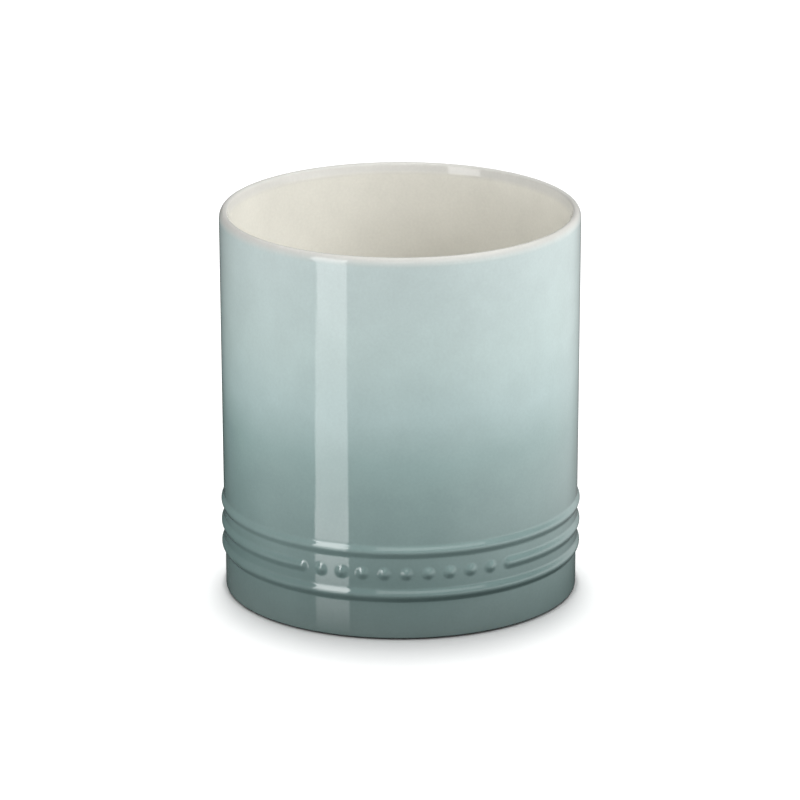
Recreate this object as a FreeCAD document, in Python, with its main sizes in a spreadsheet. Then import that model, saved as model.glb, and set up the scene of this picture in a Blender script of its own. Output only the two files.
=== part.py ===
import FreeCAD, Part
import math
import operator
import os
from enum import IntEnum
from typing import NamedTuple, Optional

import Sketcher

# Glazed stoneware utensil crock: one pressed clay body under three fused coats of glaze.
# Millimetres, +Z up. The origin is at the centre of the foot ring, on the table. The front, where
# the middle bead opens round a row of dots, faces -Y.

# Driving sizes. Outside and inside sizes are taken over the glaze, and angles are in degrees.
SIZES = {
    # Wall, lip and floor
    "rim_diameter": 150.0,
    "base_diameter": 147.9,  # where the wall's line meets the table
    "overall_height": 163.0,
    "rim_wall": 4.1,  # the lip is a full round of this thickness
    "base_wall": 5.6,  # at the level of the inside floor
    "floor_thickness": 7.0,
    "inside_corner": 9.0,  # radius between the wall and the floor
    # Coats of glaze
    "outer_glaze_thickness": 0.35,
    "liner_glaze_thickness": 0.35,
    "underside_glaze_thickness": 0.3,
    "cream_band": 0.4,  # how far the liner reaches down the outside below the round of the lip
    # Beads round the base, and the row of dots in the opening of the middle bead
    "low_bead_level": 19.3,
    "bead_pitch": 9.35,
    "bead_width": 4.5,
    "bead_height": 1.05,
    "front_opening": 70.0,  # angle between the rounded ends of the middle bead
    "dot_count": 9,
    # Base band and foot ring
    "base_inset": 0.42,  # how far the band under the beads stands back from the wall
    "bare_foot": 0.4,  # height of the clay left without glaze
    "foot_bevel": 2.0,  # how far the bare clay draws in to the ring that stands on the table
    "foot_width": 6.0,
    "recess_depth": 2.5,
    "recess_flare": 1.2,
}

SHEET = "sizes"
FULL_TURN = 360.0
BEAD_END_COUNT = 2


class Axis(IntEnum):
    """Axes of an outline's plane. The outline's origin is the start of the one across."""

    ACROSS = -1
    UP = -2


class Point(IntEnum):
    """Which point of a run in an outline is meant."""

    START = 1
    END = 2
    CENTRE = 3


class Size:
    """A number with the expression that works it out from the sheet of sizes."""

    def __init__(self, value, text):
        self.value = value
        self.text = text

    def __add__(self, other):
        return combine(operator.add, "+", self, other)

    def __sub__(self, other):
        return combine(operator.sub, "-", self, other)

    def __mul__(self, other):
        return combine(operator.mul, "*", self, other)

    def __truediv__(self, other):
        return combine(operator.truediv, "/", self, other)


ZERO = Size(0.0, "0")
TURN = Size(FULL_TURN, str(FULL_TURN))


def combine(operation, sign, left, right):
    """Join two sizes, or a size and a plain number, in one expression."""
    if not isinstance(right, Size):
        right = Size(right, str(right))
    return Size(operation(left.value, right.value), f"({left.text} {sign} {right.text})")


def square_root(size):
    """Square root of a size."""
    return Size(math.sqrt(size.value), f"sqrt({size.text})")


def fill_sheet(document):
    """Write the driving sizes to the document's sheet and return them by name."""
    sheet = document.addObject("Spreadsheet::Sheet", SHEET)
    sizes = {}
    for row, (name, value) in enumerate(SIZES.items(), start=1):
        sheet.set(f"A{row}", name)
        sheet.set(f"B{row}", str(value))
        sheet.setAlias(f"B{row}", name)
        sizes[name] = Size(value, f"{SHEET}.{name}")
    document.recompute()
    return sizes


class Corner(NamedTuple):
    """A corner of an outline. With an arc centre, the run to the next corner is an arc."""

    across: Size
    up: Size
    arc_centre: Optional[Size] = None
    turns_left: bool = True

    @property
    def first_point(self):
        """The point of the run's own geometry that lies on this corner."""
        return Point.START if self.turns_left else Point.END

    @property
    def last_point(self):
        """The point of the run's own geometry that lies on the next corner."""
        return Point.END if self.turns_left else Point.START

    @property
    def place(self):
        """The corner's place in its sketch."""
        return FreeCAD.Vector(self.across.value, self.up.value, 0)


def run_between(corner, following):
    """Straight run or arc from one corner of an outline to the following one."""
    start, end = corner.place, following.place
    if corner.arc_centre is None:
        return Part.LineSegment(start, end)
    centre_x = corner.arc_centre.value
    squares = (end.x - centre_x) ** 2 + end.y ** 2 - (start.x - centre_x) ** 2 - start.y ** 2
    centre = FreeCAD.Vector(centre_x, squares / (2 * (end.y - start.y)), 0)
    if not corner.turns_left:
        start, end = end, start
    first_angle = math.atan2(start.y - centre.y, start.x - centre.x)
    last_angle = math.atan2(end.y - centre.y, end.x - centre.x)
    circle = Part.Circle(centre, FreeCAD.Vector(0, 0, 1), start.distanceToPoint(centre))
    return Part.ArcOfCircle(circle, first_angle, last_angle)


def hold(sketch, kind, run, point, size):
    """Tie a point's distance from the sketch's origin, along one axis, to a size."""
    if size is ZERO:
        axis = Axis.UP if kind == "DistanceX" else Axis.ACROSS
        sketch.addConstraint(Sketcher.Constraint("PointOnObject", run, point, axis))
        return
    tie = Sketcher.Constraint(kind, Axis.ACROSS, Point.START, run, point, size.value)
    number = sketch.addConstraint(tie)
    sketch.setExpression(f"Constraints[{number}]", size.text)


def draw_outline(sketch, corners):
    """Draw a closed outline through its corners and tie each corner to its sizes."""
    following = corners[1:] + corners[:1]
    for corner, next_corner in zip(corners, following):
        sketch.addGeometry(run_between(corner, next_corner), False)
    for run, (corner, next_corner) in enumerate(zip(corners, following)):
        next_run = (run + 1) % len(corners)
        joint = Sketcher.Constraint(
            "Coincident", run, corner.last_point, next_run, next_corner.first_point
        )
        sketch.addConstraint(joint)
        hold(sketch, "DistanceX", run, corner.first_point, corner.across)
        hold(sketch, "DistanceY", run, corner.first_point, corner.up)
        if corner.arc_centre is not None:
            hold(sketch, "DistanceX", run, Point.CENTRE, corner.arc_centre)


def origin_feature(body, role):
    """A plane or axis of a body's own origin."""
    return next(feature for feature in body.Origin.OriginFeatures if feature.Role == role)


def section(body, name, corners, plane="XZ_Plane"):
    """Upright sketch of an outline, in a plane through the crock's axis."""
    sketch = body.newObject("Sketcher::SketchObject", name)
    sketch.AttachmentSupport = [(origin_feature(body, plane), "")]
    sketch.MapMode = "FlatFace"
    draw_outline(sketch, corners)
    return sketch


def revolve(body, name, sketch, axis="V_Axis"):
    """Turn a sketch all the way round one of its own axes."""
    turned = body.newObject("PartDesign::Revolution", name)
    turned.Profile = sketch
    turned.ReferenceAxis = (sketch, [axis])
    turned.Angle = FULL_TURN
    return turned


def new_body(document, label):
    """Empty body with its own name."""
    body = document.addObject("PartDesign::Body", label)
    body.Label = label
    return body


class Crock:
    """The crock's pieces and the sizes that they share."""

    def __init__(self, document):
        self.document = document
        self.sizes = fill_sheet(document)
        size = self.sizes
        self.rim_radius = size["rim_diameter"] / 2
        self.base_radius = size["base_diameter"] / 2
        self.lip_radius = size["rim_wall"] / 2
        self.lip_level = size["overall_height"] - self.lip_radius
        self.lip_inside = self.rim_radius - size["rim_wall"]
        self.liner_edge = self.lip_level - size["cream_band"]
        self.floor_level = size["recess_depth"] + size["floor_thickness"]
        self.corner_level = self.floor_level + size["inside_corner"]
        width, height = size["bead_width"], size["bead_height"]
        self.bead_arc = (width * width / 4 + height * height) / (height * 2)

    def wall_radius(self, level):
        """Outside radius of the glazed wall at a level."""
        return self.base_radius + (self.rim_radius - self.base_radius) * level / self.lip_level

    def band_radius(self, level):
        """Outside radius of the glazed band under the beads at a level."""
        return self.wall_radius(level) - self.sizes["base_inset"]

    def inside_radius(self, level):
        """Inside radius of the glazed wall at a level above the floor."""
        bottom = self.base_radius - self.sizes["base_wall"]
        rise = (level - self.floor_level) / (self.lip_level - self.floor_level)
        return bottom + (self.lip_inside - bottom) * rise

    def inside_outline(self, coat):
        """Floor, inside corner and inside wall up to the lip, under a coat of glaze."""
        radius = self.inside_radius(self.corner_level)
        centre = radius - self.sizes["inside_corner"]
        return [
            Corner(ZERO, self.floor_level - coat),
            Corner(centre, self.floor_level - coat, centre),
            Corner(radius + coat, self.corner_level),
        ]

    def lip_outline(self, inner_coat, outer_coat):
        """Round of the lip from the inside to the outside, under coats of glaze."""
        inside = self.lip_inside + inner_coat
        outside = self.rim_radius - outer_coat
        middle = (inside + outside) / 2
        return [
            Corner(inside, self.lip_level, middle, False),
            Corner(middle, self.sizes["overall_height"] - inner_coat, middle, False),
            Corner(outside, self.lip_level),
        ]

    def stoneware_body(self):
        """Pressed clay: wall, lip, floor and foot ring, with the beads and dots raised on it."""
        size = self.sizes
        outer, liner = size["outer_glaze_thickness"], size["liner_glaze_thickness"]
        low_bead, foot_top = size["low_bead_level"], size["bare_foot"]
        foot_outside = self.band_radius(foot_top) - outer - size["foot_bevel"]
        foot_inside = foot_outside - size["foot_width"]
        recess_level = size["recess_depth"] + size["underside_glaze_thickness"]
        corners = self.inside_outline(liner) + self.lip_outline(liner, outer)
        corners += [
            Corner(self.wall_radius(low_bead) - outer, low_bead),
            Corner(self.band_radius(low_bead) - outer, low_bead),
            Corner(self.band_radius(foot_top) - outer, foot_top),
            Corner(foot_outside, ZERO),
            Corner(foot_inside, ZERO),
            Corner(foot_inside - size["recess_flare"], recess_level),
            Corner(ZERO, recess_level),
        ]
        body = new_body(self.document, "stoneware_body")
        revolve(body, "clay_wall", section(body, "clay_section", corners))
        self.raise_beads(body, "clay", outer)
        return body

    def outer_glaze(self, clay):
        """Coloured coat on the outside: its outer form, with the clay taken out of it."""
        size = self.sizes
        low_bead, bottom, top = size["low_bead_level"], size["bare_foot"], self.liner_edge
        corners = [
            Corner(self.band_radius(bottom) - self.lip_radius, bottom),
            Corner(self.band_radius(bottom), bottom),
            Corner(self.band_radius(low_bead), low_bead),
            Corner(self.wall_radius(low_bead), low_bead),
            Corner(self.wall_radius(top), top),
            Corner(self.wall_radius(top) - self.lip_radius, top),
        ]
        form = new_body(self.document, "outer_form")
        revolve(form, "coat_wall", section(form, "coat_section", corners))
        self.raise_beads(form, "coat", ZERO)
        coat = self.document.addObject("Part::Cut", "outer_glaze")
        coat.Label = "outer_glaze"
        coat.Base = form
        coat.Tool = clay
        return coat

    def liner_glaze(self):
        """Cream coat: the inside, the lip and a narrow band on the outside."""
        size = self.sizes
        outer, liner = size["outer_glaze_thickness"], size["liner_glaze_thickness"]
        edge = self.liner_edge
        corner_radius = self.inside_radius(self.corner_level)
        corner_centre = corner_radius - size["inside_corner"]
        corners = self.inside_outline(liner) + self.lip_outline(liner, outer)
        corners += [
            Corner(self.wall_radius(edge) - outer, edge),
            Corner(self.wall_radius(edge), edge),
            Corner(self.rim_radius, self.lip_level, self.rim_radius - self.lip_radius),
            Corner(
                self.rim_radius - self.lip_radius,
                size["overall_height"],
                self.rim_radius - self.lip_radius,
            ),
            Corner(self.lip_inside, self.lip_level),
            Corner(corner_radius, self.corner_level, corner_centre, False),
            Corner(corner_centre, self.floor_level),
            Corner(ZERO, self.floor_level),
        ]
        body = new_body(self.document, "liner_glaze")
        revolve(body, "liner_coat", section(body, "liner_section", corners))
        return body

    def underside_glaze(self):
        """Cream coat on the ceiling of the recess inside the foot ring."""
        size = self.sizes
        foot_top, level = size["bare_foot"], size["recess_depth"]
        top = level + size["underside_glaze_thickness"]
        foot_outside = self.band_radius(foot_top) - size["outer_glaze_thickness"] - size["foot_bevel"]
        foot_inside = foot_outside - size["foot_width"]
        corners = [
            Corner(ZERO, level),
            Corner(foot_inside - size["recess_flare"] * level / top, level),
            Corner(foot_inside - size["recess_flare"], top),
            Corner(ZERO, top),
        ]
        body = new_body(self.document, "underside_glaze")
        revolve(body, "underside_coat", section(body, "underside_section", corners))
        return body

    def raise_beads(self, body, name, coat):
        """Three beads round the base, the middle one open at the front round a row of dots."""
        size = self.sizes
        low, pitch = size["low_bead_level"], size["bead_pitch"]
        self.ring_bead(body, f"{name}_low_bead", low, coat)
        self.ring_bead(body, f"{name}_high_bead", low + pitch * 2, coat)
        middle_bead = self.ring_bead(body, f"{name}_middle_bead", low + pitch, coat, "YZ_Plane")
        middle_bead.Midplane = True
        middle_bead.setExpression("Angle", (TURN - size["front_opening"]).text)
        self.dot_row(body, f"{name}_dots", low + pitch, coat)

    def bead_places(self, level, coat):
        """Root radius, arc centre and half the root's width of a bead under a coat of glaze."""
        height = self.sizes["bead_height"]
        root = self.wall_radius(level) - height
        centre = self.wall_radius(level) + height - self.bead_arc
        arc = self.bead_arc - coat
        depth = root - centre
        return root, centre, square_root(arc * arc - depth * depth)

    def ring_bead(self, body, name, level, coat, plane="XZ_Plane"):
        """Bead of round section, turned about the crock's axis."""
        root, centre, half_width = self.bead_places(level, coat)
        corners = [Corner(root, level - half_width, centre), Corner(root, level + half_width)]
        return revolve(body, name, section(body, f"{name}_section", corners, plane))

    def dot_row(self, body, name, level, coat):
        """Domes at equal steps across the front: the bead's two rounded ends, with dots between."""
        size = self.sizes
        root, centre, half_width = self.bead_places(level, coat)
        crest = self.wall_radius(level) + size["bead_height"] - coat
        corners = [
            Corner(root, ZERO),
            Corner(crest, ZERO, centre),
            Corner(root, half_width),
        ]
        sketch = section(body, f"{name}_section", corners, "YZ_Plane")
        bead_end = (TURN - size["front_opening"]) / 2
        upright = FreeCAD.Rotation(FreeCAD.Vector(0, 1, 0), bead_end.value)
        sketch.AttachmentOffset = FreeCAD.Placement(FreeCAD.Vector(0, level.value, 0), upright)
        sketch.setExpression("AttachmentOffset.Base.y", level.text)
        sketch.setExpression("AttachmentOffset.Rotation.Angle", bead_end.text)
        dome = revolve(body, f"{name}_dome", sketch, "H_Axis")
        row = body.newObject("PartDesign::PolarPattern", name)
        row.Originals = [dome]
        row.Axis = (origin_feature(body, "Z_Axis"), [""])
        row.setExpression("Angle", size["front_opening"].text)
        row.setExpression("Occurrences", (size["dot_count"] + BEAD_END_COUNT).text)
        body.Tip = row


def check(document, pieces):
    """Stop if any feature failed or a piece isn't one valid solid."""
    for feature in document.Objects:
        if "Invalid" in feature.State or "Error" in feature.State:
            raise RuntimeError(f"{feature.Label} failed: {feature.State}")
    for piece in pieces:
        shape = piece.Shape
        if shape.isNull() or not shape.isValid() or len(shape.Solids) != 1:
            raise RuntimeError(f"{piece.Label} isn't one valid solid")


def main():
    """Build the crock and write each piece to its own file."""
    document = FreeCAD.newDocument("utensil_crock")
    crock = Crock(document)
    clay = crock.stoneware_body()
    pieces = [clay, crock.outer_glaze(clay), crock.liner_glaze(), crock.underside_glaze()]
    document.recompute()
    check(document, pieces)
    os.makedirs("parts", exist_ok=True)
    for piece in pieces:
        piece.Shape.exportStep(f"parts/{piece.Label}.step")
        print(f"{piece.Label}: {piece.Shape.Volume:.1f} cubic mm")


main()
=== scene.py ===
"""Looks of a glazed stoneware utensil crock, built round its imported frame.

Metres, +Z up. The origin is at the centre of the foot ring, on the table. The front, where the
middle bead opens round a row of dots, faces -Y.
"""

import logging
import math
from dataclasses import dataclass, field
from enum import Enum
from typing import Any, ClassVar, Optional, Union

import bmesh
import bpy
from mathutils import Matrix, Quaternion, Vector


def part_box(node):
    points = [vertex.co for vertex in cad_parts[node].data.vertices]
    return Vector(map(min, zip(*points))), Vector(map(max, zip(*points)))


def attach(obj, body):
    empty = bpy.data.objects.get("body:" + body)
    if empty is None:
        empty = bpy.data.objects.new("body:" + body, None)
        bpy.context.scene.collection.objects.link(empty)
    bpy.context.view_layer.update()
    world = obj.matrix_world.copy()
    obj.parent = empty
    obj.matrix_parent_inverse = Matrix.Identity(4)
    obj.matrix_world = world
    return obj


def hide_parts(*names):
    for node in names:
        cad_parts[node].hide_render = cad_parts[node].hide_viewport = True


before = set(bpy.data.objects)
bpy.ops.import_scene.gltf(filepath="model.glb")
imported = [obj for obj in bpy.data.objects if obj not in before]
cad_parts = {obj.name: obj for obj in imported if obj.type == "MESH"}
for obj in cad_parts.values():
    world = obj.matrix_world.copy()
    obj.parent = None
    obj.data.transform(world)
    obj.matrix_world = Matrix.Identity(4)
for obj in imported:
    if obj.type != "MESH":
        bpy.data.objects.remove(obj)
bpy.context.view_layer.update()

LOG = logging.getLogger("utensil_crock")
MM = 0.001
MICRON = 0.001 * MM
MERGE_DISTANCE = 1 * MICRON
SHARP_EDGE = math.radians(40)

Point = tuple[float, float]
Socket = bpy.types.NodeSocket


class Fineness(Enum):
    """Columns that a piece is turned in: across the front, and round the rest."""

    RELIEF = (240, 150)
    HIDDEN = (120, 138)


class Lamp(Enum):
    """Lamps of the studio, by the name of each one's object."""

    STRIP_HIGH = "strip_lamp"
    STRIP_ON_LIP = "strip_lamp_on_lip"
    STRIP_LOW = "strip_lamp_low_end"
    STRIP_AT_LIP = "strip_at_lip"
    STRIP_AT_WALL = "strip_at_wall"
    STRIP_AT_BASE = "strip_at_base"
    STRIP_AT_FOOT = "strip_at_foot"
    TOP = "top_panel"
    LEFT = "left_softbox"
    FRONT_LEFT_LOW = "front_left_low_softbox"
    FRONT_LEFT = "front_left_softbox"
    FRONT_RIGHT = "front_right_softbox"
    RIGHT = "right_softbox"
    BACK = "back_softbox"
    TABLE = "table_lamp"
    TABLE_GLOW = "table_glow"


def linear(hex_colour: str) -> tuple[float, float, float, float]:
    """Turn an sRGB hex colour into linear values.

    Args:
        hex_colour: six hex digits after a hash sign.

    Returns:
        Red, green, blue and an alpha of 1.
    """
    values = [int(hex_colour[place:place + 2], 16) / 255 for place in (1, 3, 5)]
    plain = [v / 12.92 if v <= 0.04045 else ((v + 0.055) / 1.055) ** 2.4 for v in values]
    return (plain[0], plain[1], plain[2], 1.0)


def add_node(
    tree: bpy.types.NodeTree,
    kind: str,
    settings: Optional[dict[str, Any]] = None,
    inputs: Optional[dict[Union[str, int], Any]] = None,
) -> bpy.types.Node:
    """Add a node with its settings, and fill or link its inputs.

    Args:
        tree: the node tree that it goes into.
        kind: the node's type name.
        settings: properties of the node.
        inputs: a value, or an output socket to link, for each input that is set.

    Returns:
        The new node.
    """
    node = tree.nodes.new(kind)
    for name, value in (settings or {}).items():
        setattr(node, name, value)
    for name, value in (inputs or {}).items():
        if isinstance(value, Socket):
            tree.links.new(value, node.inputs[name])
        else:
            node.inputs[name].default_value = value
    return node


def new_material(name: str) -> tuple[bpy.types.Material, bpy.types.NodeTree]:
    """Make an empty node material.

    Args:
        name: the material's name.

    Returns:
        The material and its node tree.
    """
    material = bpy.data.materials.new(name)
    material.use_nodes = True
    material.node_tree.nodes.clear()
    return material, material.node_tree


@dataclass(frozen=True)
class Mottle:
    """Uneven tone of a sprayed and fired glaze: clouds, and the finer grain of the spray."""

    cloud_size: float = 14 * MM
    cloud_depth: float = 0.035
    grain_size: float = 1.1 * MM
    grain_depth: float = 0.03
    detail: float = 3.0
    noise_range: Point = (0.25, 0.75)

    def shade(self, tree: bpy.types.NodeTree, place: Socket, colour: Socket) -> Socket:
        """Break up a colour.

        Args:
            tree: the material's node tree.
            place: the coordinates that the pattern follows.
            colour: the even colour.

        Returns:
            The colour with clouds and grain in it.
        """
        low, high = self.noise_range
        for size, depth in ((self.cloud_size, self.cloud_depth), (self.grain_size, self.grain_depth)):
            noise = add_node(
                tree,
                "ShaderNodeTexNoise",
                inputs={"Vector": place, "Scale": 1 / size, "Detail": self.detail},
            )
            level = add_node(
                tree,
                "ShaderNodeMapRange",
                inputs={"Value": noise.outputs["Fac"], 1: low, 2: high, 3: 1 - depth, 4: 1 + depth},
            )
            shaded = add_node(
                tree,
                "ShaderNodeVectorMath",
                {"operation": "SCALE"},
                {0: colour, "Scale": level.outputs["Result"]},
            )
            colour = shaded.outputs["Vector"]
        return colour


@dataclass(frozen=True)
class Glaze:
    """Glossy fired glaze: a glassy coat with sharp reflections and a faint orange-peel ripple."""

    name: str
    mottle: Mottle = Mottle()
    ior: float = 1.52
    roughness: float = 0.06
    roughness_spread: float = 0.015
    ripple_size: float = 5 * MM
    ripple_height: float = 2.5 * MICRON
    ripple_detail: float = 1.0
    pinhole_size: float = 0.5 * MM
    pinhole_depth: float = 0.12 * MICRON
    pinhole_detail: float = 2.0

    def colour(self, tree: bpy.types.NodeTree, place: Socket) -> Socket:
        """Give the even colour of the glaze, before it is mottled."""
        raise NotImplementedError

    def material(self) -> bpy.types.Material:
        """Build the glaze's material, or find it where another piece has it already.

        Returns:
            The finished material.
        """
        if self.name in bpy.data.materials:
            return bpy.data.materials[self.name]
        material, tree = new_material(self.name)
        place = add_node(tree, "ShaderNodeTexCoord").outputs["Object"]
        colour = self.mottle.shade(tree, place, self.colour(tree, place))
        ripple = add_node(
            tree,
            "ShaderNodeTexNoise",
            inputs={"Vector": place, "Scale": 1 / self.ripple_size, "Detail": self.ripple_detail},
        )
        waves = add_node(
            tree,
            "ShaderNodeBump",
            inputs={"Distance": self.ripple_height, "Height": ripple.outputs["Fac"]},
        )
        pinholes = add_node(
            tree,
            "ShaderNodeTexNoise",
            inputs={"Vector": place, "Scale": 1 / self.pinhole_size, "Detail": self.pinhole_detail},
        )
        surface = add_node(
            tree,
            "ShaderNodeBump",
            inputs={
                "Distance": self.pinhole_depth,
                "Height": pinholes.outputs["Fac"],
                "Normal": waves.outputs["Normal"],
            },
        )
        gloss = add_node(
            tree,
            "ShaderNodeMapRange",
            inputs={
                "Value": ripple.outputs["Fac"],
                3: self.roughness - self.roughness_spread,
                4: self.roughness + self.roughness_spread,
            },
        )
        shader = add_node(
            tree,
            "ShaderNodeBsdfPrincipled",
            inputs={
                "Base Color": colour,
                "Roughness": gloss.outputs["Result"],
                "IOR": self.ior,
                "Normal": surface.outputs["Normal"],
            },
        )
        add_node(tree, "ShaderNodeOutputMaterial", inputs={"Surface": shader.outputs["BSDF"]})
        return material


@dataclass(frozen=True)
class CreamGlaze(Glaze):
    """Warm white tin-type glaze of the lining. Over the lip its colour is painted darker and greyer:
    painted shade, which keeps the lip's upward faces from showing brighter than the walls.
    """

    name: str = "cream_stoneware_glaze"
    cream: str = "#DEDCD3"
    # Painted shade: the lip's colour is a darker, greyer cream, so that its upward faces look no brighter
    # than the walls.
    lip: str = "#CDCCC7"
    lip_shade_bottom: float = 157.5 * MM
    lip_shade_top: float = 160.5 * MM

    def colour(self, tree: bpy.types.NodeTree, place: Socket) -> Socket:
        """Give the cream colour, and the darker, greyer one painted over the lip as shade.

        Args:
            tree: the material's node tree.
            place: the coordinates that the pattern follows.

        Returns:
            The colour by level.
        """
        level = add_node(tree, "ShaderNodeSeparateXYZ", inputs={"Vector": place}).outputs["Z"]
        share = add_node(
            tree,
            "ShaderNodeMapRange",
            {"interpolation_type": "SMOOTHSTEP"},
            {"Value": level, 1: self.lip_shade_bottom, 2: self.lip_shade_top},
        )
        # Blend the cream into the painted shade over the lip.
        blend = add_node(
            tree,
            "ShaderNodeMix",
            {"data_type": "RGBA"},
            {0: share.outputs["Result"], 6: linear(self.cream), 7: linear(self.lip)},
        )
        return blend.outputs[2]


@dataclass(frozen=True)
class Shade:
    """Colour of the sprayed glaze at one level of the wall."""

    level: float
    colour: str


@dataclass(frozen=True)
class OmbreGlaze(Glaze):
    """Grey-green glaze sprayed thin at the top and thick at the base.

    It pales to a mint grey above and runs out in a soft edge into the lip's cream, which is painted darker
    as shade.
    """

    name: str = "grey_green_ombre_glaze"
    shades: tuple[Shade, ...] = (
        Shade(0 * MM, "#70807E"),
        Shade(24 * MM, "#6F8583"),
        Shade(40 * MM, "#809694"),
        Shade(60 * MM, "#8BA2A0"),
        Shade(76 * MM, "#98B0AE"),
        Shade(96 * MM, "#B3C8C7"),
        Shade(120 * MM, "#C0D2D0"),
        Shade(163 * MM, "#C6D4D3"),
    )
    drift_size: float = 45 * MM
    drift: float = 5 * MM
    fade_bottom: float = 158.5 * MM
    fade_top: float = 163 * MM
    # The coloured coat fades into the lip's cream with its painted shade.
    lip: str = CreamGlaze.lip

    def colour(self, tree: bpy.types.NodeTree, place: Socket) -> Socket:
        """Give the colour by level, from the dark base to the edge at the lip.

        Args:
            tree: the material's node tree.
            place: the coordinates that the pattern follows.

        Returns:
            The graded colour.
        """
        level = add_node(tree, "ShaderNodeSeparateXYZ", inputs={"Vector": place}).outputs["Z"]
        clouds = add_node(
            tree, "ShaderNodeTexNoise", inputs={"Vector": place, "Scale": 1 / self.drift_size}
        )
        drift = add_node(
            tree,
            "ShaderNodeMapRange",
            inputs={"Value": clouds.outputs["Fac"], 3: -self.drift, 4: self.drift},
        )
        drifted = add_node(
            tree, "ShaderNodeMath", {"operation": "ADD"}, {0: level, 1: drift.outputs["Result"]}
        )
        bottom, top = self.shades[0].level, self.shades[-1].level
        share = add_node(
            tree,
            "ShaderNodeMapRange",
            inputs={"Value": drifted.outputs["Value"], 1: bottom, 2: top},
        )
        ramp = add_node(tree, "ShaderNodeValToRGB", inputs={"Fac": share.outputs["Result"]})
        stops = ramp.color_ramp.elements
        for shade in self.shades[1:-1]:
            stops.new((shade.level - bottom) / (top - bottom))
        for stop, shade in zip(stops, self.shades):
            stop.color = linear(shade.colour)
        fade = add_node(
            tree,
            "ShaderNodeMapRange",
            {"interpolation_type": "SMOOTHSTEP"},
            {"Value": level, 1: self.fade_bottom, 2: self.fade_top},
        )
        # Fade into the lip's cream, painted darker as shade.
        blend = add_node(
            tree,
            "ShaderNodeMix",
            {"data_type": "RGBA"},
            {0: fade.outputs["Result"], 6: ramp.outputs["Color"], 7: linear(self.lip)},
        )
        return blend.outputs[2]


@dataclass(frozen=True)
class BareStoneware:
    """Fired clay ground flat on the foot ring: matt, warm, with darker grains of grog in it."""

    name: str = "bare_fired_stoneware"
    clay: str = "#C9B79C"
    grog: str = "#A08B6E"
    grog_size: float = 1.4 * MM
    grog_range: Point = (0.42, 0.66)
    grog_detail: float = 4.0
    grain_height: float = 30 * MICRON
    roughness: float = 0.82
    ior: float = 1.5

    def material(self) -> bpy.types.Material:
        """Build the clay's material.

        Returns:
            The finished material.
        """
        material, tree = new_material(self.name)
        place = add_node(tree, "ShaderNodeTexCoord").outputs["Object"]
        grains = add_node(
            tree,
            "ShaderNodeTexNoise",
            inputs={"Vector": place, "Scale": 1 / self.grog_size, "Detail": self.grog_detail},
        )
        share = add_node(
            tree,
            "ShaderNodeMapRange",
            inputs={"Value": grains.outputs["Fac"], 1: self.grog_range[0], 2: self.grog_range[1]},
        )
        blend = add_node(
            tree,
            "ShaderNodeMix",
            {"data_type": "RGBA"},
            {0: share.outputs["Result"], 6: linear(self.clay), 7: linear(self.grog)},
        )
        surface = add_node(
            tree,
            "ShaderNodeBump",
            inputs={"Distance": self.grain_height, "Height": grains.outputs["Fac"]},
        )
        shader = add_node(
            tree,
            "ShaderNodeBsdfPrincipled",
            inputs={
                "Base Color": blend.outputs[2],
                "Roughness": self.roughness,
                "IOR": self.ior,
                "Normal": surface.outputs["Normal"],
            },
        )
        add_node(tree, "ShaderNodeOutputMaterial", inputs={"Surface": shader.outputs["BSDF"]})
        return material


@dataclass
class Outline:
    """Half section of a turned piece: points of radius and level, drawn one after another."""

    points: list[Point] = field(default_factory=list)

    def go(self, place: Point) -> None:
        """Go straight on to a place, unless the line stands there already."""
        if not self.points or math.dist(self.points[-1], place) > MERGE_DISTANCE:
            self.points.append(place)

    def line(self, radius: float, level: float, rows: int = 1) -> None:
        """Go straight on to a point.

        Args:
            radius: the point's distance from the crock's axis.
            level: the point's height.
            rows: equal steps that the way is divided into.
        """
        first = self.points[-1] if self.points else (radius, level)
        across, up = radius - first[0], level - first[1]
        for row in range(1, rows + 1):
            share = row / rows
            self.go((first[0] + across * share, first[1] + up * share))

    def arc(self, centre: Point, reach: Point, start: float, end: float, rows: int) -> None:
        """Go straight on to the start of an arc of an ellipse, and along it.

        Args:
            centre: the ellipse's centre.
            reach: the ellipse's half axes, across and up.
            start: first angle in degrees, from straight outwards towards straight up.
            end: last angle in degrees.
            rows: equal steps that the arc is divided into.
        """
        for row in range(rows + 1):
            angle = math.radians(start + (end - start) * row / rows)
            self.go((centre[0] + reach[0] * math.cos(angle), centre[1] + reach[1] * math.sin(angle)))


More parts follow.
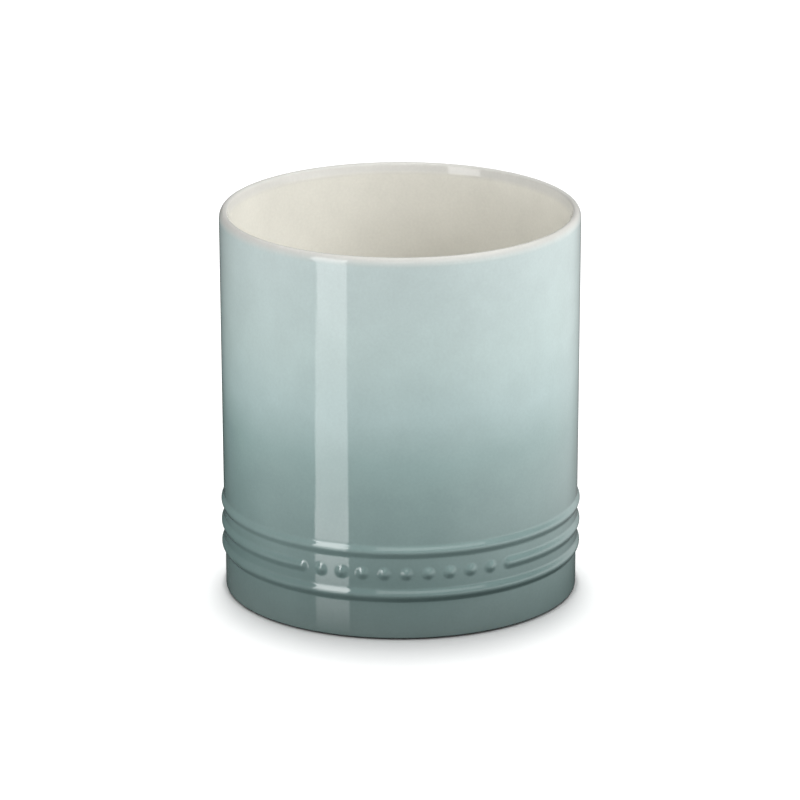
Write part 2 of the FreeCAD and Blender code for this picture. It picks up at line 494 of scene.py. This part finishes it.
@dataclass(frozen=True)
class CrockForm:
    """Sizes that the crock's pieces share, over the glaze. The levels come from the frame."""

    overall_height: float
    rim_radius: float
    bare_foot: float
    liner_edge: float
    recess_depth: float
    base_radius: float = 73.95 * MM
    rim_wall: float = 4.1 * MM
    base_wall: float = 5.6 * MM
    floor_thickness: float = 7 * MM
    inside_corner: float = 9 * MM
    lip_outer_height: float = 3.6 * MM
    lip_outer_width: float = 2.0 * MM
    lip_inner_round: float = 1.3 * MM
    seam_row: float = 1.0
    bevel_height: float = 4.6 * MM
    bevel_tilt: float = 11.0
    bevel_foot_round: float = 6 * MM
    bevel_run_in: float = 2 * MM
    coat: float = 0.35 * MM
    underside_coat: float = 0.3 * MM
    low_bead_level: float = 19.3 * MM
    bead_pitch: float = 9.35 * MM
    bead_height: float = 1.05 * MM
    bead_reach: float = 3.2 * MM
    front_opening: float = 70.0
    dot_count: int = 9
    base_inset: float = 0.42 * MM
    foot_bevel: float = 2 * MM
    foot_round: float = 0.65 * MM
    toe_round: float = 0.2 * MM
    foot_inner_round: float = 0.5 * MM
    foot_width: float = 6 * MM
    recess_flare: float = 1.2 * MM
    front_sector: float = 84.0
    wall_rows: int = 8
    floor_rows: int = 6
    lip_rows: int = 12

    @classmethod
    def from_frame(cls) -> "CrockForm":
        """Take the levels and the rim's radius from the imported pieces.

        Returns:
            The crock's sizes.
        """
        liner_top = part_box("liner_glaze")[1]
        coat_bottom, coat_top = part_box("outer_glaze")
        return cls(
            overall_height=liner_top.z,
            rim_radius=liner_top.x,
            bare_foot=coat_bottom.z,
            liner_edge=coat_top.z,
            recess_depth=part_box("underside_glaze")[0].z,
        )

    @property
    def lip_level(self) -> float:
        """Level where the outside wall ends and the lip's round begins."""
        return self.overall_height - self.lip_outer_height

    @property
    def floor_level(self) -> float:
        """Level of the inside floor."""
        return self.recess_depth + self.floor_thickness

    @property
    def foot_radius(self) -> float:
        """Outside radius of the ring that stands on the table."""
        return self.band_radius(self.bare_foot) - self.coat - self.foot_bevel

    @property
    def foot_round_centre(self) -> Point:
        """Centre of the round that turns the outside in over the foot."""
        return (self.band_radius(self.bare_foot) - self.foot_round, self.bare_foot + self.foot_round)

    @property
    def crest_radius(self) -> float:
        """Radius of the lip's highest line, where its outer round begins."""
        return self.rim_radius - self.lip_outer_width

    @property
    def seam_angle(self) -> float:
        """Angle on the lip's outer round where the coloured coat meets the lining, in degrees."""
        return math.degrees(math.asin((self.liner_edge - self.lip_level) / self.lip_outer_height))

    @property
    def dot_step(self) -> float:
        """Angle between neighbouring dots, or a dot and the bead's end, in degrees."""
        return self.front_opening / (self.dot_count + 1)

    def wall_radius(self, level: float) -> float:
        """Outside radius of the wall at a level."""
        return self.base_radius + (self.rim_radius - self.base_radius) * level / self.lip_level

    def band_radius(self, level: float) -> float:
        """Outside radius of the band under the beads at a level."""
        return self.wall_radius(level) - self.base_inset

    def inside_radius(self, level: float) -> float:
        """Give the inside radius of the wall.

        Args:
            level: a level above the floor.

        Returns:
            The radius there.
        """
        bottom = self.base_radius - self.base_wall
        rise = (level - self.floor_level) / (self.lip_level - self.floor_level)
        return bottom + (self.rim_radius - self.rim_wall - bottom) * rise

    def inside_and_lip(self, coat: float) -> Outline:
        """Draw the floor, the inside wall and the lip, under a coat of glaze.

        The lip leans back in a bevel on its inside, and rounds over from that to the crest.

        Args:
            coat: glaze that is still to come over the piece.

        Returns:
            The line from the axis to the lip's crest.
        """
        line = Outline()
        corner_level = self.floor_level + self.inside_corner
        corner = (self.inside_radius(corner_level) - self.inside_corner, corner_level)
        corner_reach = self.inside_corner + coat
        line.line(0.0, self.floor_level - coat)
        line.line(corner[0], self.floor_level - coat, self.floor_rows)
        line.arc(corner, (corner_reach, corner_reach), -90, 0, 10)
        level = self.overall_height - self.bevel_height
        foot_reach, inner_reach = self.bevel_foot_round, self.lip_inner_round
        foot = (self.inside_radius(level) + foot_reach, level)
        tilt = math.radians(self.bevel_tilt)
        lean = (self.bevel_height - inner_reach) * math.tan(tilt)
        lean -= (foot_reach - inner_reach) / math.cos(tilt)
        inner = (foot[0] + lean, self.overall_height - inner_reach)
        line.line(foot[0] - foot_reach + coat, level - self.bevel_run_in, self.wall_rows)
        line.arc(foot, (foot_reach - coat, foot_reach - coat), 180, 180 - self.bevel_tilt, 4)
        line.arc(inner, (inner_reach - coat, inner_reach - coat), 180 - self.bevel_tilt, 90, self.lip_rows)
        return line

    def lip_round(self, line: Outline, coat: float, start: float, end: float) -> None:
        """Go on along the lip's outer round, with a narrow row at each end to keep its shading true.

        Args:
            line: the outline so far.
            coat: glaze that is still to come over the piece.
            start: first angle in degrees, from straight outwards towards straight up.
            end: last angle in degrees.
        """
        centre = (self.crest_radius, self.lip_level)
        reach = (self.lip_outer_width - coat, self.lip_outer_height - coat)
        narrow = math.copysign(self.seam_row, end - start)
        line.arc(centre, reach, start, start + narrow, 1)
        line.arc(centre, reach, start + narrow, end - narrow, self.lip_rows)
        line.arc(centre, reach, end - narrow, end, 1)


@dataclass
class TurnedPiece:
    """A piece turned about the crock's axis from its half section."""

    form: CrockForm
    name: ClassVar[str]
    node: ClassVar[str]
    slot: ClassVar[str]
    fineness: ClassVar[Fineness]
    bead_rows: ClassVar[int] = 32
    row_tolerance: ClassVar[float] = 0.2

    def outline(self) -> Outline:
        """Draw the piece's half section."""
        raise NotImplementedError

    def dress(self, piece: bpy.types.Object) -> None:
        """Give the piece its material."""
        raise NotImplementedError

    def build(self) -> bpy.types.Object:
        """Model the piece, dress it and seat it on the frame.

        Returns:
            The finished piece.
        """
        piece = self.trace()
        self.turn()
        self.shape(piece)
        bpy.ops.object.mode_set(mode="OBJECT")
        self.thicken(piece)
        bpy.ops.object.shade_smooth_by_angle(angle=SHARP_EDGE)
        self.dress(piece)
        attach(piece, "root")
        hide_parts(self.node)
        return piece

    def shape(self, piece: bpy.types.Object) -> None:
        """Model what the turned form lacks, in edit mode. A plain piece lacks nothing."""

    def thicken(self, piece: bpy.types.Object) -> None:
        """Give a sheet its thickness. A closed piece has it already."""

    def trace(self) -> bpy.types.Object:
        """Draw the half section, one point extruded from place to place, at the front's right end.

        Returns:
            The new object, in edit mode.
        """
        azimuth = math.radians(-90 + self.form.front_sector / 2)
        across = Vector((math.cos(azimuth), math.sin(azimuth), 0))
        places = [across * radius + Vector((0, 0, level)) for radius, level in self.outline().points]
        bpy.ops.object.select_all(action="DESELECT")
        bpy.ops.mesh.primitive_plane_add(size=MM)
        piece = bpy.context.object
        piece.name = self.name
        bpy.ops.object.mode_set(mode="EDIT")
        bpy.ops.mesh.select_mode(type="VERT")
        bpy.ops.mesh.select_all(action="SELECT")
        bpy.ops.mesh.merge(type="CENTER")
        bpy.ops.transform.translate(value=places[0])
        for here, there in zip(places, places[1:]):
            bpy.ops.mesh.extrude_vertices_move(TRANSFORM_OT_translate={"value": there - here})
        return piece

    def turn(self) -> None:
        """Spin the half section clockwise all the way round, and close its seam and its poles."""
        front_columns, other_columns = self.fineness.value
        front = math.radians(self.form.front_sector)
        bpy.ops.mesh.select_all(action="SELECT")
        for columns, angle in ((front_columns, front), (other_columns, math.tau - front)):
            bpy.ops.mesh.spin(steps=columns, angle=angle, center=(0, 0, 0), axis=(0, 0, 1))
        bpy.ops.mesh.select_all(action="SELECT")
        bpy.ops.mesh.remove_doubles(threshold=MERGE_DISTANCE)
        bpy.ops.mesh.normals_make_consistent(inside=False)

    def bead_zone(self, line: Outline, coat: float) -> None:
        """Go on up the wall past the three beads, in rows that meet each bead's crest.

        The wall stands back under the low bead, by more and more down its lower half. A row of
        plain wall at each end keeps the beads' slope out of the long faces next to it.

        Args:
            line: the outline so far, which ends on the band under the beads.
            coat: glaze that is still to come over the piece.
        """
        form = self.form
        row_height = form.bead_pitch / self.bead_rows
        rows_out = math.ceil(form.bead_reach / row_height)
        for row in range(-rows_out - 1, 2 * self.bead_rows + rows_out + 2):
            level = form.low_bead_level + row * row_height
            inset = form.base_inset * min(max(-row / rows_out, 0.0), 1.0) ** 2
            line.line(form.wall_radius(level) - inset - coat, level)

    def raise_beads(self, piece: bpy.types.Object, height: float, reach: float) -> None:
        """Raise the beads and the dots from the wall, each with a round section.

        Args:
            piece: the piece, in edit mode.
            height: how far a crest stands out.
            reach: how far from its crest a bead's slope ends.
        """
        form = self.form
        mesh = bmesh.from_edit_mesh(piece.data)
        near = self.row_tolerance * form.bead_pitch / self.bead_rows
        arc_step = math.degrees(near / form.base_radius)
        dots = [form.dot_step * (place - (form.dot_count - 1) / 2) for place in range(form.dot_count)]
        for vertex in mesh.verts:
            rise = (vertex.co.z - form.low_bead_level) / form.bead_pitch
            bead = round(rise)
            on_line = bead in (0, 1, 2) and abs(rise - bead) * form.bead_pitch < near
            outside = vertex.co.xy.length > form.base_radius - form.base_wall / 2
            azimuth = math.degrees(math.atan2(vertex.co.x, -vertex.co.y))
            beyond_opening = abs(azimuth) > form.front_opening / 2 - arc_step
            on_dot = any(abs(azimuth - dot) < arc_step for dot in dots)
            vertex.select_set(on_line and outside and (bead != 1 or beyond_opening or on_dot))
        bmesh.update_edit_mesh(piece.data)
        bpy.ops.transform.shrink_fatten(
            value=height,
            use_proportional_edit=True,
            proportional_edit_falloff="SMOOTH",
            proportional_size=reach,
        )


@dataclass
class Coat(TurnedPiece):
    """Coat of glaze that is drawn by its face alone."""

    fineness: ClassVar[Fineness] = Fineness.RELIEF

    def thicken(self, piece: bpy.types.Object) -> None:
        """Give the coat its thickness, towards the clay.

        Args:
            piece: the coat's face.
        """
        coat = piece.modifiers.new("coat", "SOLIDIFY")
        coat.thickness = self.form.coat
        coat.offset = -1
        bpy.ops.object.modifier_apply(modifier=coat.name)


@dataclass
class OuterGlaze(Coat):
    """Coloured coat on the outside, with the beads and the row of dots."""

    name: ClassVar[str] = "coloured_coat"
    node: ClassVar[str] = "outer_glaze"
    slot: ClassVar[str] = "colour_glaze"

    def outline(self) -> Outline:
        """Draw the coat's outside, from its rounded lower edge to the cream of the lip.

        Returns:
            The half section.
        """
        form, line = self.form, Outline()
        line.arc(form.foot_round_centre, (form.foot_round, form.foot_round), -90, 0, 6)
        band_top = form.low_bead_level - form.bead_reach - form.foot_round
        line.line(form.band_radius(band_top), band_top, form.wall_rows)
        self.bead_zone(line, 0.0)
        line.line(form.wall_radius(form.lip_level), form.lip_level, form.wall_rows)
        form.lip_round(line, 0.0, 0.0, form.seam_angle)
        return line

    def shape(self, piece: bpy.types.Object) -> None:
        """Raise the beads and the dots."""
        self.raise_beads(piece, self.form.bead_height, self.form.bead_reach)

    def dress(self, piece: bpy.types.Object) -> None:
        """Give the coat the graded glaze."""
        piece.data.materials.append(OmbreGlaze().material())


@dataclass
class LinerGlaze(Coat):
    """Cream coat of the inside and the lip."""

    name: ClassVar[str] = "cream_lining"
    node: ClassVar[str] = "liner_glaze"
    slot: ClassVar[str] = "cream_glaze"

    def outline(self) -> Outline:
        """Draw the lining's face, from the middle of the floor over the lip to its outer edge.

        Returns:
            The half section.
        """
        form = self.form
        line = form.inside_and_lip(0.0)
        form.lip_round(line, 0.0, 90.0, form.seam_angle)
        return line

    def dress(self, piece: bpy.types.Object) -> None:
        """Give the lining its cream, and the lip's outside the edge of the coloured glaze.

        Args:
            piece: the lining.
        """
        piece.data.materials.append(CreamGlaze().material())
        piece.data.materials.append(OmbreGlaze().material())
        for face in piece.data.polygons:
            face.material_index = int(face.center.xy.length > self.form.crest_radius)


@dataclass
class StonewareBody(TurnedPiece):
    """Fired clay under the glaze, bare on the foot ring."""

    name: ClassVar[str] = "clay_pot"
    node: ClassVar[str] = "stoneware_body"
    slot: ClassVar[str] = "stoneware"
    fineness: ClassVar[Fineness] = Fineness.HIDDEN
    bead_rows: ClassVar[int] = 12
    clearance: float = 0.1 * MM

    def outline(self) -> Outline:
        """Draw the clay from the middle of the floor, over the lip and down to the foot's recess.

        Returns:
            The half section.
        """
        form = self.form
        line = form.inside_and_lip(form.coat)
        form.lip_round(line, form.coat, 90.0, 0.0)
        zone = Outline()
        self.bead_zone(zone, form.coat)
        line.line(*zone.points[-1], form.wall_rows)
        line.points += reversed(zone.points[:-1])
        reach = form.foot_round - form.coat
        line.arc(form.foot_round_centre, (reach, reach), 0, -90, 4)
        toe, inner = form.toe_round, form.foot_inner_round
        line.arc((form.foot_radius, toe), (toe, toe), -60, -90, 3)
        inside = form.foot_radius - form.foot_width
        line.line(inside + inner, 0.0, 2)
        line.arc((inside + inner, inner), (inner, inner), -90, -180, 5)
        ceiling = form.recess_depth + form.underside_coat
        line.line(inside - form.recess_flare, ceiling, 2)
        line.line(0.0, ceiling, form.floor_rows)
        return line

    def shape(self, piece: bpy.types.Object) -> None:
        """Raise the beads and the dots, a little lower than the glaze over them."""
        form = self.form
        self.raise_beads(piece, form.bead_height - self.clearance, form.bead_reach - self.clearance)

    def dress(self, piece: bpy.types.Object) -> None:
        """Leave the clay bare."""
        piece.data.materials.append(BareStoneware().material())


@dataclass
class UndersideGlaze(TurnedPiece):
    """Cream coat on the ceiling of the foot's recess."""

    name: ClassVar[str] = "cream_underside"
    node: ClassVar[str] = "underside_glaze"
    slot: ClassVar[str] = "cream_glaze"
    fineness: ClassVar[Fineness] = Fineness.HIDDEN
    edge_round: float = 0.15 * MM

    def outline(self) -> Outline:
        """Draw the disc of glaze, round its rim from below to above.

        Returns:
            The half section.
        """
        form, line = self.form, Outline()
        ceiling = form.recess_depth + form.underside_coat
        rim = form.foot_radius - form.foot_width - form.recess_flare - self.edge_round
        middle = (form.recess_depth + ceiling) / 2
        line.line(0.0, form.recess_depth)
        line.line(rim, form.recess_depth, form.floor_rows)
        line.arc((rim, middle), (self.edge_round, self.edge_round), -90, 90, 6)
        line.line(0.0, ceiling, form.floor_rows)
        return line

    def dress(self, piece: bpy.types.Object) -> None:
        """Give the coat its cream."""
        piece.data.materials.append(CreamGlaze().material())


@dataclass(frozen=True)
class Panel:
    """Upright lamp that faces the crock's axis.

    Its direction is in degrees to the right of the camera, seen from the crock. Its levels are the
    heights of its lower and upper edges. A radiance of 1 is the white of a picture. A lamp that shows
    in one piece alone has that piece's name.
    """

    lamp: Lamp
    direction: float
    levels: Point
    width: float
    radiance: float
    shown_in: Optional[str] = None


@dataclass
class Studio:
    """White table, lamps and camera. Directions are degrees to the right of the camera."""

    camera_azimuth: float = -1.8
    camera_elevation: float = 17.57
    camera_distance: float = 2.5
    camera_lens: float = 269.2
    camera_roll: float = -0.106
    aim: Vector = field(default_factory=lambda: Vector((-0.17 * MM, 0, 79.93 * MM)))
    table_size: float = 12.0
    table_seen: str = "#FFFFFF"
    table_bounce: str = "#666D6D"
    mirrored_painted_shadow: str = "#3C4040"
    # Painted shadow: the table's colour in the glaze's reflections near the crock. It is darker than the
    # white table and stands in for the crock's shadow on it.
    room_colour: str = "#FFFFFF"
    room_fill: float = 0.3
    room_mirrored: float = 0.15
    # Inner and outer radius, and falloff, of that painted shadow round the crock's axis.
    painted_shadow_reach: Point = (77 * MM, 237 * MM)
    painted_shadow_falloff: float = 2.0
    floor_mirrored: float = 0.65
    glow_mirrored: float = 1.8
    glow_direction: float = 85.0
    glow_spread: Point = (0.4, 0.953)
    dark_direction: float = -150.0
    dark_spread: Point = (0.45, 0.88)
    mirrored_rise: float = 0.3
    lamp_distance: float = 1.5
    mirrored_panels: tuple[Panel, ...] = (
        Panel(Lamp.STRIP_HIGH, -44.8, (0.4, 0.85), 0.604, 8.5, OuterGlaze.name),
        Panel(Lamp.STRIP_ON_LIP, -44.8, (0.4, 0.85), 0.604, 5.0, LinerGlaze.name),
        Panel(Lamp.STRIP_LOW, -44.8, (0.0, 0.4), 0.604, 3.5),
        Panel(Lamp.STRIP_AT_LIP, -43.05, (-0.325, -0.002), 0.525, 2.9),
        Panel(Lamp.STRIP_AT_WALL, -43.95, (-0.385, -0.325), 0.56, 2.25),
        Panel(Lamp.STRIP_AT_BASE, -44.25, (-0.457, -0.385), 0.584, 3.4),
        Panel(Lamp.STRIP_AT_FOOT, -44.55, (-0.6, -0.457), 0.61, 4.6),
        Panel(Lamp.TOP, 20.0, (0.75, 1.1), 2.2, 1.6),
    )
    softboxes: tuple[Panel, ...] = (
        Panel(Lamp.LEFT, -85.0, (0.0, 0.45), 1.2, 2.55),
        Panel(Lamp.FRONT_LEFT_LOW, -50.0, (0.0, 0.45), 1.2, 2.5),
        Panel(Lamp.FRONT_LEFT, -50.0, (0.45, 1.3), 1.2, 3.6),
        Panel(Lamp.FRONT_RIGHT, 40.0, (0.95, 1.9), 1.0, 4.15),
        Panel(Lamp.RIGHT, 76.0, (0.95, 1.9), 1.4, 10.2),
        Panel(Lamp.BACK, 180.0, (0.05, 0.95), 1.0, 3.0),
    )
    table_lamp_height: float = 12.0
    table_lamp_size: Point = (1.03, 3.4)
    table_lamp_behind: float = 0.8
    table_lamp_radiance: float = 52.0
    table_glow_size: Point = (10.0, 10.0)
    table_glow_behind: float = 3.0
    table_glow_radiance: float = 3.9

    def build(self) -> None:
        """Set up the table, the room, the lamps and the camera."""
        bpy.context.scene.view_settings.view_transform = "Standard"
        self.room()
        self.lamps(self.table())
        self.camera()

    def towards(self, direction: float) -> Vector:
        """Give the level direction from the crock at an angle to the right of the camera."""
        angle = math.radians(self.camera_azimuth + direction)
        return Vector((math.sin(angle), -math.cos(angle), 0))

    def camera(self) -> None:
        """Set the camera where the object is seen as it was photographed."""
        data = bpy.data.cameras.new("camera")
        data.lens = self.camera_lens
        data.clip_end = self.table_size
        elevation = math.radians(self.camera_elevation)
        back = self.towards(0) * math.cos(elevation) + Vector((0, 0, math.sin(elevation)))
        camera = bpy.data.objects.new("camera", data)
        camera.location = self.aim + back * self.camera_distance
        camera.rotation_mode = "QUATERNION"
        roll = Quaternion((0, 0, 1), math.radians(self.camera_roll))
        camera.rotation_quaternion = (-back).to_track_quat("-Z", "Y") @ roll
        bpy.context.scene.collection.objects.link(camera)
        bpy.context.scene.camera = camera

    def table(self) -> bpy.types.Object:
        """Lay the table, white to the camera.

        The glaze mirrors it as a dark ring of painted shadow near the crock, and mirrors the room further
        out.

        Returns:
            The table.
        """
        bpy.ops.object.select_all(action="DESELECT")
        bpy.ops.mesh.primitive_plane_add(size=self.table_size)
        table = bpy.context.object
        table.name = "table"
        material, tree = new_material("white_table")
        rays = add_node(tree, "ShaderNodeLightPath")
        unseen = add_node(
            tree,
            "ShaderNodeMix",
            {"data_type": "RGBA"},
            {
                0: rays.outputs["Is Glossy Ray"],
                6: linear(self.table_bounce),
                7: linear(self.mirrored_painted_shadow),
            },
        )
        colour = add_node(
            tree,
            "ShaderNodeMix",
            {"data_type": "RGBA"},
            {0: rays.outputs["Is Camera Ray"], 6: unseen.outputs[2], 7: linear(self.table_seen)},
        )
        place = add_node(tree, "ShaderNodeTexCoord").outputs["Object"]
        away = add_node(tree, "ShaderNodeVectorMath", {"operation": "LENGTH"}, {0: place})
        near = add_node(
            tree,
            "ShaderNodeMapRange",
            inputs={"Value": away.outputs["Value"], 1: self.painted_shadow_reach[1], 2: self.painted_shadow_reach[0]},
        )
        shade = add_node(
            tree,
            "ShaderNodeMath",
            {"operation": "POWER"},
            {0: near.outputs["Result"], 1: self.painted_shadow_falloff},
        )
        # Painted shadow: within the ring the glaze mirrors the dark table colour, and beyond it the table
        # lets the room through.
        clear = add_node(
            tree,
            "ShaderNodeMath",
            {"operation": "SUBTRACT", "use_clamp": True},
            {0: rays.outputs["Is Glossy Ray"], 1: shade.outputs["Value"]},
        )
        surface = add_node(tree, "ShaderNodeBsdfDiffuse", inputs={"Color": colour.outputs[2]})
        opening = add_node(tree, "ShaderNodeBsdfTransparent")
        shader = add_node(
            tree,
            "ShaderNodeMixShader",
            inputs={0: clear.outputs["Value"], 1: surface.outputs["BSDF"], 2: opening.outputs["BSDF"]},
        )
        add_node(tree, "ShaderNodeOutputMaterial", inputs={"Surface": shader.outputs["Shader"]})
        table.data.materials.append(material)
        return table

    def room(self) -> None:
        """Fill the room with even light, white to the camera.

        Where the glaze mirrors it, it is pale above the table's level. Below that it glows on the right,
        and is dark at the back on the left.
        """
        world = bpy.data.worlds.new("room")
        world.use_nodes = True
        tree = world.node_tree
        tree.nodes.clear()
        rays = add_node(tree, "ShaderNodeLightPath")
        way = add_node(tree, "ShaderNodeTexCoord").outputs["Generated"]
        upward = add_node(tree, "ShaderNodeSeparateXYZ", inputs={"Vector": way}).outputs["Z"]
        facing = {
            side: add_node(
                tree, "ShaderNodeVectorMath", {"operation": "DOT_PRODUCT"}, {0: way, 1: self.towards(side)}
            ).outputs["Value"]
            for side in (self.glow_direction, self.dark_direction)
        }
        glow = add_node(
            tree,
            "ShaderNodeMapRange",
            inputs={
                "Value": facing[self.glow_direction],
                1: self.glow_spread[0],
                2: self.glow_spread[1],
                3: self.floor_mirrored,
                4: self.glow_mirrored,
            },
        )
        shaded = add_node(
            tree,
            "ShaderNodeMapRange",
            inputs={
                "Value": facing[self.dark_direction],
                1: self.dark_spread[0],
                2: self.dark_spread[1],
                3: glow.outputs["Result"],
                4: 0.0,
            },
        )
        mirrored = add_node(
            tree,
            "ShaderNodeMapRange",
            {"interpolation_type": "SMOOTHSTEP"},
            {"Value": upward, 2: self.mirrored_rise, 3: shaded.outputs["Result"], 4: self.room_mirrored},
        )
        unseen = add_node(
            tree,
            "ShaderNodeMapRange",
            inputs={
                "Value": rays.outputs["Is Glossy Ray"],
                3: self.room_fill,
                4: mirrored.outputs["Result"],
            },
        )
        seen = add_node(
            tree,
            "ShaderNodeMath",
            {"operation": "MAXIMUM"},
            {0: rays.outputs["Is Camera Ray"], 1: rays.outputs["Is Transmission Ray"]},
        )
        strength = add_node(
            tree,
            "ShaderNodeMapRange",
            inputs={"Value": seen.outputs["Value"], 3: unseen.outputs["Result"], 4: 1.0},
        )
        light = add_node(
            tree,
            "ShaderNodeBackground",
            inputs={"Color": linear(self.room_colour), "Strength": strength.outputs["Result"]},
        )
        add_node(tree, "ShaderNodeOutputWorld", inputs={"Surface": light.outputs["Background"]})
        bpy.context.scene.world = world

    def lamps(self, table: bpy.types.Object) -> None:
        """Hang the lamps: those round the crock, which pass the table by, and two over the table.

        The strip on the left, its image in the table and the panel above are mirrored in the glaze
        and give no other light. The strip's upper end is weaker in the lining, which covers the lip.
        The softboxes light the crock and aren't mirrored.

        Args:
            table: the table.
        """
        beside = bpy.data.collections.new("all_but_table")
        beside.objects.link(table)
        beside.collection_objects[0].light_linking.link_state = "EXCLUDE"
        for panel in self.mirrored_panels + self.softboxes:
            outward = self.towards(panel.direction)
            place = outward * self.lamp_distance + Vector((0, 0, sum(panel.levels) / 2))
            size = (panel.width, panel.levels[1] - panel.levels[0])
            lamp = self.lamp(panel.lamp, place, size, panel.radiance)
            lamp.rotation_euler = (-outward).to_track_quat("-Z", "Y").to_euler()
            lamp.visible_diffuse = panel in self.softboxes
            lamp.visible_glossy = panel in self.mirrored_panels
            receivers = self.alone(panel.shown_in) if panel.shown_in else beside
            lamp.light_linking.receiver_collection = receivers
        over = self.alone(table.name)
        place = self.towards(180) * self.table_lamp_behind + Vector((0, 0, self.table_lamp_height))
        above = self.lamp(Lamp.TABLE, place, self.table_lamp_size, self.table_lamp_radiance)
        place = self.towards(180) * self.table_glow_behind + Vector((0, 0, self.table_lamp_height))
        around = self.lamp(Lamp.TABLE_GLOW, place, self.table_glow_size, self.table_glow_radiance)
        for lamp in (above, around):
            lamp.rotation_euler.z = math.radians(self.camera_azimuth)
            lamp.light_linking.receiver_collection = over

    def alone(self, name: str) -> bpy.types.Collection:
        """Collect one object, for a lamp that lights nothing else.

        Args:
            name: the object's name.

        Returns:
            A collection of that object.
        """
        collection = bpy.data.collections.new(f"{name}_alone")
        collection.objects.link(bpy.data.objects[name])
        return collection

    def lamp(self, lamp: Lamp, place: Vector, size: Point, radiance: float) -> bpy.types.Object:
        """Hang one lamp, facing down.

        Args:
            lamp: which lamp it is.
            place: where its middle hangs.
            size: its width and length.
            radiance: how bright its face is, where 1 is the white of a picture.

        Returns:
            The lamp.
        """
        data = bpy.data.lights.new(lamp.value, "AREA")
        data.shape = "RECTANGLE"
        data.size, data.size_y = size
        data.energy = radiance * math.pi * size[0] * size[1]
        holder = bpy.data.objects.new(lamp.value, data)
        holder.location = place
        bpy.context.scene.collection.objects.link(holder)
        return holder


def main() -> None:
    """Build the crock's pieces in order, then the studio."""
    logging.basicConfig(level=logging.INFO, format="%(name)s: %(message)s")
    form = CrockForm.from_frame()
    for kind in (StonewareBody, LinerGlaze, OuterGlaze, UndersideGlaze):
        piece = kind(form).build()
        LOG.info("%s has %d faces", piece.name, len(piece.data.polygons))
    Studio().build()


if __name__ == "__main__":
    main()
